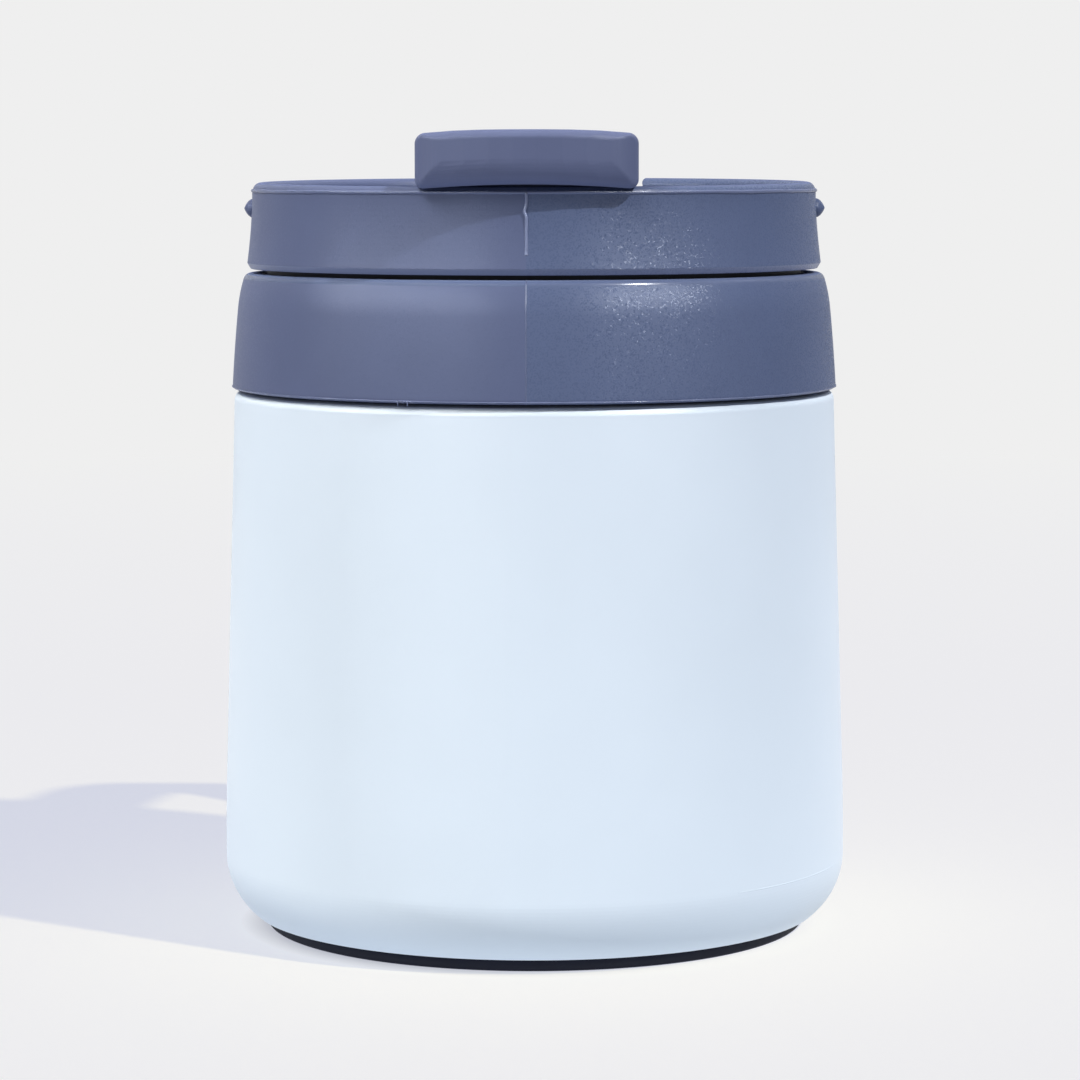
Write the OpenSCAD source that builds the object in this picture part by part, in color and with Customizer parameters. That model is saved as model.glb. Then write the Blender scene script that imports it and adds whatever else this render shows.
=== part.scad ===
// Insulated steel mug with a collar handle, a screw lid and a flip cover.
// The mug's axis is Z, the foot stands on z = 0, the flip tab faces -Y and the handle +Y.
// Diameters follow the painted wall inwards and heights follow it upwards,
// so one size moves all that rests on it.

/* [Body] */
// Widest diameter of the painted wall
body_d = 90.1; // [80:0.1:104]
// How much narrower the wall is just under the collar
body_taper = 3.5; // [1:0.1:6]
// Height at which the painted wall turns in under the collar
body_top_z = 76.3; // [64:0.1:96]
// Sheet thickness of the steel shell, liner and base disc
steel_t = 0.6; // [0.4:0.05:0.8]
// Radius of the rounded foot corner
corner_r = 10.8; // [8:0.1:14]
// Angle of the foot corner below the level of its middle
corner_a = 51.06; // [40:0.5:60]
// Radius of the soft turn from the tapered wall to the corner
blend_r = 400; // [200:10:600]
// Radius of the wall's upper edge
edge_r = 1.3; // [0.8:0.1:2]
// Slope of the shoulder, measured from the upright
shoulder_a = 50; // [44:1:56]
// Radius of the hollow turn from shoulder to neck
neck_turn_r = 2.5; // [1.5:0.1:4]
// Step from the wall's upper edge in to the neck
neck_step = 6.9; // [6.2:0.1:9]
// Height of the mug's lip above the collar
lip_rise = 3.1; // [2.5:0.1:5]
// Height of the folded lip
fold_h = 0.9; // [0.7:0.1:1.2]
// Height of the liner's floor, underside
liner_z = 9; // [7.5:0.1:14]
// Room between the wall's upper edge and the liner's belly, sheet included
vacuum_gap = 3.5; // [2.5:0.1:6]
// Radius of the liner's bottom corner
liner_r = 9; // [5:0.5:14]
// Radius of the liner's turn into its shoulder
liner_turn_r = 4; // [3:0.1:5]
// Radius of the bead that holds the collar down on the neck
bead_r = 0.55; // [0.3:0.05:0.6]

/* [Base] */
// Height of the shell's flat bottom rim above the ground
hem_z = 2; // [1.4:0.1:3]
// Width of the flat bottom rim
rim_flat = 3.54; // [2.5:0.02:6]
// Height of the upturned hem
hem_h = 3; // [2:0.1:4]
// Depth of the base disc's recess above the bottom rim
disc_rise = 2.4; // [1.8:0.1:3]
// Rise of the dimple in the base disc
dimple_h = 1; // [0.8:0.1:1.4]
// Diameter of the pump-out hole
pump_d = 1.6; // [1.2:0.1:2]
// Set-back of the foot pad on the flat rim
pad_set = 1.94; // [1:0.02:2.5]
// Rounding of the foot pad's lower edge
pad_edge = 0.5; // [0.2:0.05:0.8]
// Distance of the pad's ring groove from its edge
groove_in = 6.6; // [4:0.1:12]
// Width of the pad's ring groove
groove_w = 2.4; // [1.5:0.1:4]
// Depth of the pad's ring groove
groove_t = 0.5; // [0.3:0.1:1]
// Diameter of the getter tablet
getter_d = 6.8; // [4:0.1:10]
// Height of the getter tablet
getter_h = 1.5; // [1:0.1:1.8]

/* [Collar and handle] */
// Height of the dark line between the wall's edge and the collar
collar_line = 0.65; // [0.4:0.05:1]
// Height of the collar
collar_h = 16.55; // [14:0.05:20]
// Step of the collar's lower edge beyond the wall
collar_step = 0.28; // [0.1:0.01:0.8]
// Radius of the collar's bowed side, seen in section
collar_bow_r = 260; // [120:10:400]
// Depth below the collar at which its side would stand upright
collar_bow_drop = 14; // [6:0.5:20]
// Fall of the collar's soft shoulder below its top
collar_fall_h = 5; // [3:0.1:8]
// How far the shoulder draws the collar's top in
collar_fall = 0.55; // [0:0.05:1]
// Rounding of the collar's upper edge
collar_edge = 1.1; // [0.6:0.1:1.6]
// Small rounding of the collar's lower edge
collar_ease = 0.4; // [0.2:0.05:0.6]
// Thickness of the collar above the turn into the neck
collar_floor = 1.54; // [1.2:0.02:3]
// Width of the handle strap at the collar
strap_w = 20; // [16:0.5:24]
// Width of the handle strap at its foot
strap_low_w = 16.5; // [12:0.5:22]
// Thickness of the handle strap
strap_t = 6.6; // [5:0.1:8]
// Edge radius of the handle strap
strap_r = 2.7; // [1:0.1:3.2]
// Depth of the strap's middle line below the collar's top, where it leaves the collar
arm_drop = 5.7; // [5:0.1:8]
// Fall of the arm below the level
arm_a = 13; // [5:1:20]
// Length of the straight arm, from inside the collar
arm_len = 20; // [17:0.5:24]
// Distance inside the wall's upper edge at which the arm starts
arm_sink = 6; // [4:0.5:7]
// Radius of the first, wide bend
bend_1_r = 27; // [20:1:34]
// Angle of the first bend
bend_1_a = 45; // [30:1:60]
// Radius of the second, tighter bend
bend_2_r = 17; // [12:1:22]
// Lean of the grip towards the mug
grip_a = 15; // [8:1:20]
// Length of the straight grip
grip_len = 22; // [16:1:28]
// Radius of the lower bend
bend_3_r = 13; // [9:1:16]
// Fall of the handle's foot below the level
foot_a = 13; // [5:1:25]
// Length of the straight foot, which the painted wall cuts off
foot_len = 22; // [18:1:26]
// Radius of the fillet between arm and collar
root_r = 4.5; // [2:0.5:5]
// Depth to which the fillet runs into the collar
root_sink = 0.8; // [0.4:0.1:1.2]

/* [Lid] */
// Set-back of the ring's lower edge from the collar's top
ring_set = 0.31; // [0:0.01:0.8]
// How much narrower the ring is below its rim
ring_taper = 1.5; // [0.5:0.1:2.5]
// Height of the dark gap between collar and ring
ring_gap = 0.65; // [0.4:0.05:1]
// Height of the ring, up to the parting ridge
ring_h = 11.15; // [9.5:0.05:14]
// Chamfer of the ring's lower edge
ring_ease = 0.45; // [0.2:0.05:0.7]
// Mean rise of the rim's crest above the ridge
rim_rise = 1.15; // [1:0.05:1.6]
// Slope of the rim, rising towards the back
rim_tilt = 0.65; // [0:0.05:1]
// Width of the rounded rim
rim_w = 2.3; // [1.8:0.1:2.8]
// Thickness of the deck
deck_t = 1.6; // [1.2:0.1:2]
// Height of the gasket
gasket_h = 1.7; // [1.2:0.1:2.4]
// Thickness of the insert's flange between gasket and deck
flange_t = 1.4; // [1:0.1:2]
// Room between neck and skirt, which the thread takes up
thread_gap = 0.7; // [0.5:0.05:0.9]
// Wall of the threaded skirt
skirt_t = 1.4; // [1.1:0.1:1.7]
// Room between the skirt and the collar's channel
channel_gap = 0.6; // [0.4:0.05:0.9]
// Room between the skirt's lower face and the channel's floor
skirt_foot = 1.8; // [1:0.1:3]
// Room between the inner cup and the mug's mouth
plug_gap = 0.75; // [0.5:0.05:1.5]
// Depth of the inner cup below the lip
plug_depth = 4.4; // [3:0.1:6]
// Wall of the inner cup
plug_cup_t = 1.5; // [1:0.1:2]
// Width of the sip opening
sip_w = 15; // [12:0.5:18]
// Depth of the sip opening, front to back
sip_d = 8.4; // [6:0.2:9.4]
// Set-back of the sip opening's middle from the inner cup's wall
sip_set = 5.9; // [5:0.1:8]
// Wall of the sip duct
duct_t = 1.4; // [1:0.1:2]
// How far the duct is wider than the opening, each side
duct_gap = 0.5; // [0.2:0.1:1]
// Distance from the sip opening to the vent
vent_step = 14.5; // [12.5:0.5:16]
// Diameter of the vent
vent_d = 3.2; // [2.8:0.1:4]
// Base diameter of the side nubs
nub_d = 2.75; // [2.5:0.05:4]
// Depth of the side nubs' middle below the ridge
nub_drop = 2.6; // [2:0.05:5]
// Reach of the side nubs beyond the ring
nub_out = 1.3; // [0.5:0.05:1.5]

/* [Flip cover] */
// Width of the thumb tab
tab_w = 30.1; // [26:0.1:34]
// Rise of the tab's top above the rim
tab_rise = 7.2; // [6.4:0.05:9]
// Depth of the tab's lower corners below the rim
tab_drop = 0.8; // [0.4:0.05:0.95]
// Rise of the tab's lower edge in the middle
tab_arch = 0.65; // [0:0.05:1]
// Drop of the tab's upper edge at its corners
tab_crown = 0.6; // [0:0.05:1]
// Reach of the tab's front face beyond the ring
tab_reach = 2.85; // [2.4:0.05:5]
// Room between the tab's back and the ring
tab_gap = 0.7; // [0.4:0.05:1]
// Corner radius of the tab, seen from the front
tab_corner = 1.3; // [1:0.1:3.4]
// Depth of the rounding round the tab's front face
tab_edge = 2.2; // [0.6:0.1:2.6]
// Height of that rounding at the face's sides and foot
tab_soft = 3.4; // [2:0.1:4]
// Height of that rounding at the face's top
tab_lip = 1.1; // [0.6:0.1:1.6]
// Wall of the hollow flap
flap_t = 2.1; // [1.6:0.1:2.6]
// Width of the tab's solid part behind its face
tab_solid = 7; // [6:0.1:8]
// Depth of the lap that sits inside the rim
lap_h = 2.4; // [1.5:0.1:2.8]
// Thickness of the lap
lap_t = 1.5; // [1.2:0.1:2]
// Depth of the hinge pin below the tab's top
hinge_drop = 4.45; // [4.2:0.05:5]
// Diameter of the hinge pin
pin_d = 2.4; // [2:0.1:2.8]
// Outer diameter of the hinge knuckles
knuckle_d = 6.8; // [6:0.1:7.4]
// Width of the middle knuckle on the deck
post_w = 13; // [10:0.5:15]
// Spread of the middle knuckle at its foot
post_flare = 1.2; // [0:0.1:2]
// Lap of the stoppers' flanges round their openings
stopper_lap = 1.7; // [1.2:0.1:2.2]
// Thickness of the spout stopper's flange
stopper_t = 1.4; // [1:0.1:1.8]
// Depth to which the spout stopper enters its opening
stopper_dip = 1.3; // [0.8:0.1:1.6]
// Height of the stoppers above their seats
stopper_h = 2.2; // [1.8:0.1:2.8]
// Diameter of the spout stopper's stem
stem_d = 5.6; // [4:0.1:7]
// Diameter of the vent stopper's stem
vent_stem_d = 3; // [2.4:0.1:3.6]
// Length of the stems in the flap
stem_h = 3.4; // [2.5:0.1:4]

/* [Fits] */
// Gap between pieces that are fixed together
fixed_gap = 0.1; // [0.05:0.01:0.15]
// Gap between the collar and the shoulder under it
collar_gap = 0.2; // [0.1:0.05:0.3]
// Gap between the pin and the middle knuckle
press_gap = 0.02; // [0.01:0.01:0.05]
// Gap between the pin and the flap's bores
pin_gap = 0.05; // [0.02:0.01:0.1]
// Side gap between the hinge knuckles
knuckle_gap = 0.3; // [0.2:0.05:0.5]
// Gap at the sides of the gasket
gasket_gap = 0.3; // [0.2:0.05:0.4]
// Gap between a seal's face and its seat
seat_gap = 0.15; // [0.1:0.05:0.25]
// Gap between the flap and the rim under it
flap_gap = 0.15; // [0.1:0.05:0.3]
// Gap between the flap's lap and the rim's inner wall
lap_gap = 0.7; // [0.5:0.05:1]
// Gap between the stopper and the sip opening's edge
stopper_gap = 0.7; // [0.6:0.1:1]
// Gap between the open tab and the sides of the notch that takes it
notch_gap = 0.65; // [0.5:0.05:1]
// Gap between the open tab and the notch's floor
notch_floor_gap = 0.45; // [0.3:0.05:0.8]
// Gap between the handle's foot and the painted wall
foot_gap = 0.35; // [0.2:0.05:0.8]

/* [Hidden] */
$fn = 96;
paint = [0.84, 0.89, 0.95];
steel = [0.75, 0.75, 0.77];
slate = [0.36, 0.41, 0.53];
silicone = [0.3, 0.34, 0.44];

// Body
wall_r = body_d / 2;
top_r = wall_r - body_taper / 2;
neck_r = top_r - neck_step;
corner_x = wall_r - corner_r;
corner_z = hem_z + corner_r * sin(corner_a);
corner_low_x = corner_x + corner_r * cos(corner_a);
blend_a = atan((wall_r - top_r) / (body_top_z - corner_z));
blend_end = [wall_r - blend_r * (1 - cos(blend_a)), corner_z + blend_r * sin(blend_a)];
edge_x = top_r - edge_r;
edge_end = [edge_x + edge_r * cos(shoulder_a), body_top_z + edge_r * sin(shoulder_a)];
turn_x = neck_r + neck_turn_r;
turn_start_x = turn_x - neck_turn_r * cos(shoulder_a);
turn_z = edge_end[1] + (edge_end[0] - turn_start_x) / tan(shoulder_a) + neck_turn_r * sin(shoulder_a);
belly_r = top_r - vacuum_gap;
mouth_r = neck_r - 2 * steel_t - fixed_gap / 2;
liner_neck_r = mouth_r + steel_t;

// Base
hem_r = corner_low_x - rim_flat;
pad_r = corner_low_x - pad_set;
pad_boss_r = hem_r - steel_t - 4 * fixed_gap;
disc_z = hem_z + disc_rise;

// Collar and handle
collar_z = edge_end[1] + collar_line;
collar_top_z = collar_z + collar_h;
collar_bow_z = collar_z - collar_bow_drop;
channel_r = neck_r + thread_gap + skirt_t + channel_gap;
channel_z = turn_z + collar_floor;
bead_z = channel_z + bead_r + fixed_gap;
lip_z = collar_top_z + lip_rise;
neck_top_z = lip_z - fold_h;
edge_round = min(strap_r, strap_t / 2 - 0.1);
arm_z = collar_top_z - arm_drop;
arm_start = [top_r - arm_sink, arm_z + arm_sink * tan(arm_a)];
root_x = collar_r(arm_z);
root_len = 1.4 * root_r;
root_end = root_x - root_sink + root_len;
arm_end = arm_start + arm_len * [cos(arm_a), -sin(arm_a)];
bend_1_c = arm_end - bend_1_r * [sin(arm_a), cos(arm_a)];
bend_1_end_a = arm_a + bend_1_a;
bend_1_end = bend_1_c + bend_1_r * [sin(bend_1_end_a), cos(bend_1_end_a)];
bend_2_c = bend_1_end - bend_2_r * [sin(bend_1_end_a), cos(bend_1_end_a)];
grip_dir = 90 + grip_a;
bend_2_end = bend_2_c + bend_2_r * [sin(grip_dir), cos(grip_dir)];
grip_end = bend_2_end + grip_len * [cos(grip_dir), -sin(grip_dir)];
bend_3_c = grip_end - bend_3_r * [sin(grip_dir), cos(grip_dir)];
foot_dir = 180 - foot_a;
bend_3_end = bend_3_c + bend_3_r * [sin(foot_dir), cos(foot_dir)];

// Lid
skirt_in_r = neck_r + thread_gap;
skirt_r = skirt_in_r + skirt_t;
skirt_z = channel_z + skirt_foot;
cap_in_r = skirt_r + fixed_gap;
ring_low_r = collar_r(collar_top_z) - ring_set;
ring_top_r = ring_low_r - ring_taper / 2;
ring_z = collar_top_z + ring_gap;
ridge_z = ring_z + ring_h;
crest_z = ridge_z + rim_rise;
gasket_z = lip_z + seat_gap;
flange_z = gasket_z + gasket_h + seat_gap;
insert_top_z = flange_z + flange_t;
deck_z = insert_top_z + fixed_gap + deck_t;
rim_r = ring_top_r - 0.1 - rim_w / 2;
wall_in_r = rim_r - rim_w / 2 - 0.25;
plug_cup_r = mouth_r - plug_gap;
plug_cup_z = lip_z - plug_depth;
sip_y = plug_cup_r - sip_set;
vent_y = sip_y - vent_step;
nub_z = ridge_z - nub_drop;

// Flip cover
tab_top_z = crest_z + tab_rise;
tab_low_z = crest_z - tab_drop;
tab_front_r = ring_top_r + tab_reach;
tab_back_r = ring_top_r + tab_gap;
hinge_z = tab_top_z - hinge_drop;
post_r = knuckle_d / 2;
notch_floor = 2 * hinge_z - tab_top_z - notch_floor_gap;
notch_w = tab_w + 2 * notch_gap;
flap_under_z = crest_z + flap_gap;
flap_rear_y = -post_r - 1;
cavity_w = tab_w - 2 * flap_t;
cavity_top_z = tab_top_z - tab_crown - flap_t;
seat_z = deck_z + seat_gap;
stopper_top_z = seat_z + stopper_h;

// Points on a circular arc, from angle a0 to a1
function arc(c, r, a0, a1, n) = [
    for (i = [0 : n])
        let (a = a0 + (a1 - a0) * i / n)
        c + r * [cos(a), sin(a)]
];

// Left-hand normal of the step from a to b
function side(a, b) = let (d = b - a) [-d[1], d[0]] / norm(d);

// A line of points moved sideways by t, keeping its corners sharp
function shifted(p, t) = [
    for (i = [0 : len(p) - 1])
        let (n0 = i > 0 ? side(p[i - 1], p[i]) : side(p[0], p[1]))
        let (n1 = i < len(p) - 1 ? side(p[i], p[i + 1]) : n0)
        let (m = n0 + n1)
        p[i] + t * 2 * m / (m * m)
];

function reversed(p) = [for (i = [len(p) - 1 : -1 : 0]) p[i]];

// Outer line of the painted shell, from the hem to the top of the neck
function shell_line() = concat(
    [[hem_r, hem_z + hem_h], [hem_r, hem_z]],
    arc([corner_x, corner_z], corner_r, -corner_a, 0, 18),
    [
        for (i = [1 : 5])
            let (a = blend_a * i / 5)
            [wall_r - blend_r * (1 - cos(a)), corner_z + blend_r * sin(a)]
    ],
    arc([edge_x, body_top_z], edge_r, 0, shoulder_a, 8),
    arc([turn_x, turn_z], neck_turn_r, 180 + shoulder_a, 180, 8),
    [[neck_r, neck_top_z]]
);

// Outer line of the liner, from the middle of its floor to the neck
function liner_line() = concat(
    [[0, liner_z]],
    arc([belly_r - liner_r, liner_z + liner_r], liner_r, -90, 0, 14),
    arc([belly_r - liner_turn_r, body_top_z - liner_turn_r], liner_turn_r, 0, shoulder_a - 2, 8),
    arc([liner_neck_r + neck_turn_r + 1, turn_z - steel_t], neck_turn_r + 1, 178 + shoulder_a, 180, 8),
    [[liner_neck_r, neck_top_z + 0.2]]
);

// Radius of the collar's bowed side at height z
function collar_r(z) = top_r + collar_step
    - sqrt(pow(collar_bow_r, 2) - pow(collar_bow_drop, 2))
    + sqrt(pow(collar_bow_r, 2) - pow(z - collar_bow_z, 2))
    - collar_fall * pow(max(0, 1 - (collar_top_z - z) / collar_fall_h), 2);

// Lean of the collar's side at height z
function collar_lean(z) = atan((collar_r(z - 0.1) - collar_r(z + 0.1)) / 0.2);

// Radius of the lid ring's flared side at height z
function ring_r(z) = ring_top_r
    + ring_taper / 2 * pow(max(0, (ridge_z - 1 - z) / (ring_h - 2)), 1.6);

// Slot with round ends, w long and d wide
module slot(w, d) {
    for (x = [-1, 1]) {
        translate([x * (w - d) / 2, 0]) circle(d / 2);
    }
    square([w - d, d], center = true);
}

// Rounded rectangle as points [x, v, half], with half 1 above and -1 below; n steps in each corner
// and m points along each long side
function rounded_points(half, up, low, r, n, m) = [
    for (q = [[1, 1, 0], [-1, 1, 90], [-1, -1, 180], [1, -1, 270]])
        for (k = [0 : n + (q[0] == q[1] ? m : 0)])
            let (a = q[2] + 90 * min(k, n) / n)
            let (run = k > n ? 2 * (half - r) * (k - n) / (m + 1) : 0)
            [q[0] * (half - r - run) + r * cos(a), (q[1] > 0 ? up - r : low + r) + r * sin(a), q[1]]
];

// Skin over rings of points that all have the same even count, closed by a strip at each end
module loft(rings) {
    n = len(rings[0]);
    k = len(rings);
    half = n / 2 - 2;
    sides = [
        for (j = [0 : k - 2]) for (i = [0 : n - 1])
            let (a = j * n + i)
            let (b = j * n + (i + 1) % n)
            each [[a, b, a + n], [b, b + n, a + n]]
    ];
    first = [for (i = [0 : half]) each [[n - 1 - i, i + 1, i], [n - 1 - i, n - 2 - i, i + 1]]];
    last = [for (f = first) [for (i = [2, 1, 0]) f[i] + (k - 1) * n]];
    polyhedron([for (ring = rings) each ring], concat(first, sides, last));
}

// Painted steel wall with foot corner, shoulder and neck
module outer_shell() {
    line = shell_line();
    color(paint) {
        rotate_extrude() polygon(concat(line, reversed(shifted(line, steel_t))));
        rotate_extrude() translate([neck_r, bead_z]) circle(bead_r);
    }
}

// Bare steel cup with a folded lip over the neck
module inner_liner() {
    line = liner_line();
    inside = [for (p = shifted(line, steel_t)) [max(0, p[0]), p[1]]];
    lip_out = neck_r + fixed_gap / 2;
    low = neck_top_z + fixed_gap / 2;
    color(steel) {
        rotate_extrude() polygon(concat(line, reversed(inside)));
        rotate_extrude() polygon([
            [mouth_r, low],
            [lip_out, low],
            [lip_out, lip_z - 0.3],
            [lip_out - 0.25, lip_z],
            [mouth_r + 0.25, lip_z],
            [mouth_r, lip_z - 0.3]
        ]);
    }
}

// Steel bottom with a rim in the hem and a dimple for the sealing bead
module base_disc() {
    out = hem_r - fixed_gap;
    dimple_r = 2 * pump_d;
    color(steel) difference() {
        rotate_extrude() polygon([
            [0, disc_z + dimple_h],
            [dimple_r - 0.6 * dimple_h, disc_z + dimple_h],
            [dimple_r, disc_z],
            [out - steel_t, disc_z],
            [out - steel_t, hem_z + fixed_gap],
            [out, hem_z + fixed_gap],
            [out, disc_z + steel_t],
            [dimple_r + 0.4, disc_z + steel_t],
            [dimple_r + 0.4 - 0.6 * dimple_h, disc_z + dimple_h + steel_t],
            [0, disc_z + dimple_h + steel_t]
        ]);
        translate([0, 0, disc_z]) cylinder(d = pump_d, h = 3 * dimple_h);
    }
}

// Bead that closes the pump-out hole from below
module seal_bead() {
    r = 1.3 * pump_d;
    top = disc_z + dimple_h - fixed_gap * 0.4;
    stem = pump_d / 2 - fixed_gap * 0.6;
    color(steel) rotate_extrude() polygon([
        [0, disc_z + 0.25 * dimple_h],
        [0.62 * r, disc_z + 0.35 * dimple_h],
        [r, disc_z + 0.7 * dimple_h],
        [r, top],
        [stem, top],
        [stem, disc_z + 1.3 * dimple_h],
        [0, disc_z + 1.3 * dimple_h]
    ]);
}

// Tablet that keeps the vacuum, on the base disc
module getter_tablet() {
    color(steel) translate([0, pad_boss_r / 2, disc_z + steel_t]) difference() {
        cylinder(d = getter_d, h = getter_h);
        translate([0, 0, getter_h * 2 / 3]) cylinder(d = getter_d * 0.76, h = getter_h);
    }
}

// Foot pad with a boss in the base recess and a shallow ring groove below
module base_pad() {
    top = hem_z - fixed_gap / 2;
    groove_out = pad_r - groove_in;
    color(silicone) rotate_extrude() polygon(concat(
        [[0, 0], [groove_out - groove_w, 0], [groove_out - groove_w + 0.4, groove_t]],
        [[groove_out - 0.4, groove_t], [groove_out, 0]],
        arc([pad_r - pad_edge, pad_edge], pad_edge, -90, 0, 6),
        [[pad_r, top], [pad_boss_r, top], [pad_boss_r, disc_z - fixed_gap], [0, disc_z - fixed_gap]]
    ));
}

// Section of the collar: bowed outside, seat on the shoulder, channel for the lid's skirt
module collar_section() {
    seat = shifted(shell_line(), -collar_gap);
    first = len(seat) - 17;
    lean = collar_lean(collar_top_z - collar_edge);
    top = collar_top_z - collar_edge * (1 - sin(lean));
    edge_c = [collar_r(top) - collar_edge * cos(lean), collar_top_z - collar_edge];
    low = collar_z + collar_ease;
    low_x = edge_end[0] - (collar_z - edge_end[1]) * tan(shoulder_a) + collar_gap / cos(shoulder_a);
    bowed = [for (i = [0 : 15]) let (z = low + (top - low) * i / 15) [collar_r(z), z]];
    neck_side = [for (i = [first : len(seat) - 2]) if (seat[i][1] > collar_z) seat[i]];
    polygon(concat(
        [[low_x, collar_z], [collar_r(collar_z) - collar_ease, collar_z]],
        bowed,
        arc(edge_c, collar_edge, lean + 8, 90, 7),
        [[channel_r, collar_top_z], [channel_r, channel_z], [neck_r + collar_gap, channel_z]],
        reversed(neck_side)
    ));
}

// Stations along a bend of the handle about c, from heading a0 to a1
function bend(c, r, a0, a1, n) = [
    for (i = [1 : n])
        let (a = a0 + (a1 - a0) * i / n)
        [c + r * [sin(a), cos(a)], a]
];

// Stations along a straight of the handle from p with heading a
function straight(p, a, l, n) = [
    for (i = [1 : n]) [p + l * i / n * [cos(a), -sin(a)], a]
];

// Station on the arm at distance y from the axis
function arm_at(y) = [[y, arm_start[1] - (y - arm_start[0]) * tan(arm_a)], arm_a];

// Middle line of the handle: point and fall of the heading at each station
function handle_line() = concat(
    [[arm_start, arm_a]],
    [for (k = [0 : 9]) arm_at(root_end - root_len * cos(10 * k))],
    [for (i = [1 : 5]) arm_at(root_end + (arm_end[0] - root_end) * i / 5)],
    bend(bend_1_c, bend_1_r, arm_a, bend_1_end_a, 12),
    bend(bend_2_c, bend_2_r, bend_1_end_a, grip_dir, 12),
    straight(bend_2_end, grip_dir, grip_len, 5),
    bend(bend_3_c, bend_3_r, grip_dir, foot_dir, 14),
    straight(bend_3_end, foot_dir, foot_len, 4)
);

// Rounded section of the strap at one station, widened by g, bowed round the collar by share b,
// and drawn at share f of the handle's length
function strap_ring(at, f, g, b) =
    let (half = (strap_w + (strap_low_w - strap_w) * f) / 2 + g)
    let (up = min(strap_t / 2 + g, max(strap_t / 2, collar_top_z - collar_edge - 0.3 - at[0][1])))
    [
        for (p = rounded_points(half, up, -strap_t / 2 - g, edge_round, 6, 4))
            let (bow = b * (root_x - sqrt(pow(root_x, 2) - pow(p[0], 2))))
            [p[0], at[0][0] + p[1] * sin(at[1]) - bow, at[0][1] + p[1] * cos(at[1])]
    ];

// Growth of the strap where it runs into the collar at distance y from the axis
function root_grow(y) =
    let (v = min(1, max(0, (root_end - y) / root_len)))
    root_r * (1 - sqrt(1 - pow(v, 2)));

// Share of the collar's curve that the strap still follows at distance y from the axis
function root_bow(y) = pow(1 - max(0, (y - root_x) / (arm_end[0] - root_x)), 1.5);

// Handle strap, one smooth loft from the collar to its foot on the wall
module strap() {
    line = handle_line();
    last = len(line) - 1;
    loft([
        for (i = [0 : last])
            let (y = line[i][0][0])
            strap_ring(line[i], i / last, i < 16 ? root_grow(y) : 0, i < 16 ? root_bow(y) : 0)
    ]);
}

// Room that the handle's foot leaves round the painted wall
module wall_room() {
    g = foot_gap;
    rotate_extrude() polygon([
        [0, 0],
        [wall_r + g, 0],
        [wall_r + g, corner_z],
        [blend_end[0] + g, blend_end[1]],
        [top_r + g, body_top_z],
        [0, body_top_z]
    ]);
}

// Collar band and handle, one moulding
module handle_collar() {
    color(slate) {
        rotate_extrude() collar_section();
        difference() {
            strap();
            cylinder(r = channel_r + 1.6, h = collar_top_z + 1);
            wall_room();
        }
    }
}

// Silicone ring with a soft bead on the lip side
module lid_gasket() {
    r0 = plug_cup_r + gasket_gap;
    r1 = skirt_in_r - gasket_gap;
    bevel = gasket_h / 4;
    color(silicone) rotate_extrude() polygon([
        [r0, gasket_z + bevel],
        [r0 + bevel, gasket_z],
        [r1 - bevel, gasket_z],
        [r1, gasket_z + bevel],
        [r1, gasket_z + gasket_h],
        [r0, gasket_z + gasket_h]
    ]);
}

// Rounded rim that rises a little towards the back
module rim() {
    translate([0, 0, crest_z - rim_w / 2]) rotate([rim_tilt, 0, 0])
        rotate_extrude() translate([rim_r, 0]) circle(rim_w / 2);
}

// Section of the lid's ring, wall and sunken deck
module cap_section() {
    low = ring_z + 0.8;
    fillet_r = min(1, (ridge_z - deck_z) / 2);
    flared = [for (i = [0 : 12]) let (z = low + (ridge_z - 1 - low) * i / 12) [ring_r(z), z]];
    polygon(concat(
        [[cap_in_r, ring_z], [ring_low_r - ring_ease, ring_z]],
        flared,
        [[ring_top_r, ridge_z], [wall_in_r, ridge_z]],
        arc([wall_in_r - fillet_r, deck_z + fillet_r], fillet_r, 0, -90, 4),
        [[0, deck_z], [0, deck_z - deck_t], [cap_in_r, deck_z - deck_t]]
    ));
}

// Small pointed dome at the side of the ring, s = 1 or -1
module nub(s) {
    sunk = 0.6;
    translate([s * ring_r(nub_z), 0, nub_z]) rotate([0, s * 90, 0]) rotate_extrude() polygon(concat(
        [[0, -sunk], [nub_d / 2, -sunk]],
        [for (a = [0 : 15 : 90]) [nub_d / 2 * pow(cos(a), 1.7), nub_out * sin(a)]]
    ));
}

// Ring, rim, sunken deck and hinge post of the lid
module lid_cap() {
    color(slate) difference() {
        union() {
            rotate_extrude() cap_section();
            rim();
            post();
            nub(1);
            nub(-1);
        }
        translate([0, -sip_y, deck_z - 2 * deck_t]) linear_extrude(3 * deck_t) slot(sip_w, sip_d);
        translate([0, -vent_y, deck_z - 2 * deck_t]) cylinder(d = vent_d, h = 3 * deck_t);
        translate([0, 0, hinge_z]) rotate([0, 90, 0])
            cylinder(d = pin_d + 2 * press_gap, h = post_w + 2, center = true);
        translate([0, wall_r, 0]) rotate([90, 0, 0])
            linear_extrude(wall_r - 0.6 * ring_top_r) notch_section();
    }
}

// Middle knuckle of the hinge, standing on the deck
module post() {
    foot = post_r + post_flare;
    low = deck_z - deck_t / 2;
    rotate([90, 0, 90]) linear_extrude(post_w, center = true) {
        translate([0, hinge_z]) circle(post_r);
        polygon([[-post_r, hinge_z], [post_r, hinge_z], [foot, low], [-foot, low]]);
    }
}

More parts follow.
